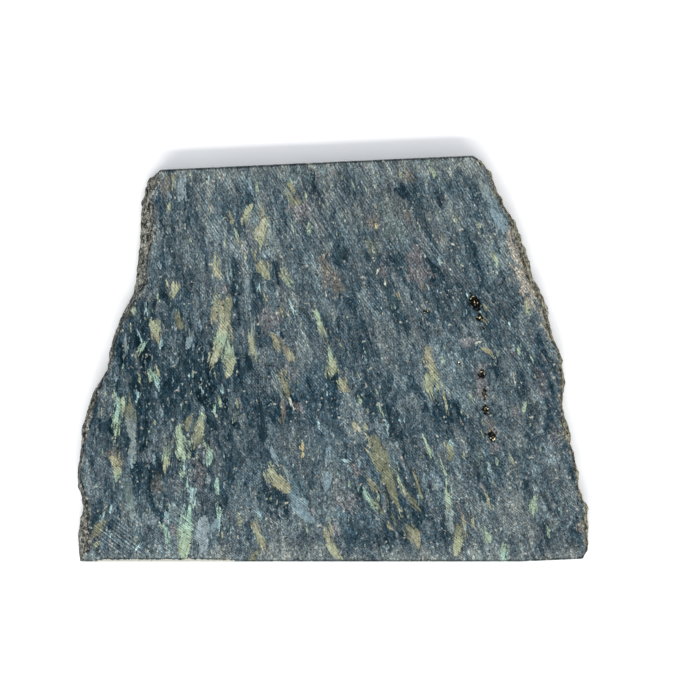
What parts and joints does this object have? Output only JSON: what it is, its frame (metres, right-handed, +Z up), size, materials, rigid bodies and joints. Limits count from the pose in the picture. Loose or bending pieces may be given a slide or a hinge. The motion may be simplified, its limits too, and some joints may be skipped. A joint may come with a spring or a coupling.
{
  "type": "nuummite slab",
  "caption": "Flat slab of dark blue-grey rock with pale green and gold blades, two sawn edges and two rough broken edges; lies flat for display or cutting.",
  "frame": {"origin": "middle of the slab's outline, on the plane of the back face that it rests on", "axes": "+X along the long sawn edge, +Y from the long sawn edge to the short one, +Z up out of the front face"},
  "size_m": [0.1128, 0.0894, 0.0065],
  "materials": {
    "nuummite": "sawn rock, matte to slightly satin, dark slate blue with pale green, gold and lilac-grey blades",
    "sulphide": "brassy sulphide grains in the pits of the front face"
  },
  "bodies": {
    "root": {"nuummite_slab": "nuummite"}
  },
  "joints": []
}
